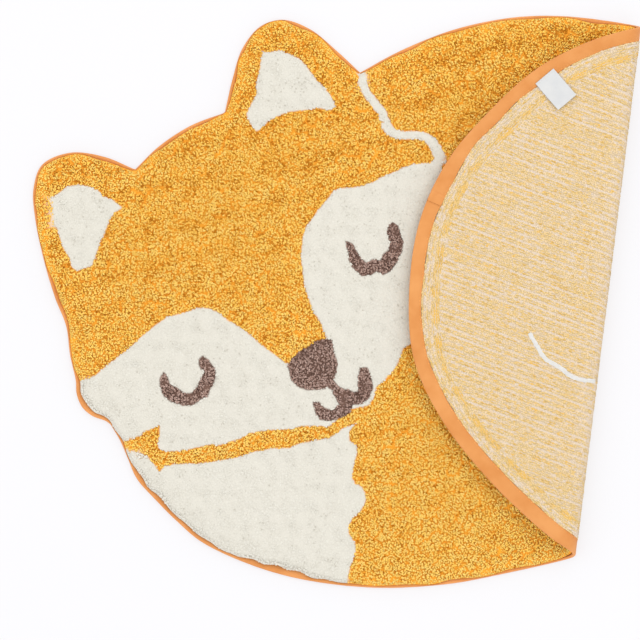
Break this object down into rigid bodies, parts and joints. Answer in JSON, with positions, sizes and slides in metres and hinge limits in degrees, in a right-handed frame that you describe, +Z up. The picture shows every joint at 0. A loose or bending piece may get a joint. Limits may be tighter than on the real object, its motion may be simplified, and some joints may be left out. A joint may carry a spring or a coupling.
{
  "type": "animal shaped kids rug",
  "caption": "Fox-shaped tufted cotton rug lying pile up, one side folded over to show its striped woven back and bound edge.",
  "frame": {"origin": "centre of the folded rug's footprint, on the floor", "axes": "+X to the folded side, +Y towards the ears, +Z up from the floor"},
  "size_m": [0.757, 0.7146, 0.0369],
  "materials": {
    "cotton_pile": "matte cut cotton pile, ochre with cream and brown areas",
    "cotton_tape": "matte plain-weave cotton tape",
    "label_ribbon": "smooth white woven ribbon, bare"
  },
  "bodies": {
    "root": {"rug": "cotton_pile", "binding_tape": "cotton_tape", "sewn_label": "label_ribbon"}
  },
  "joints": []
}
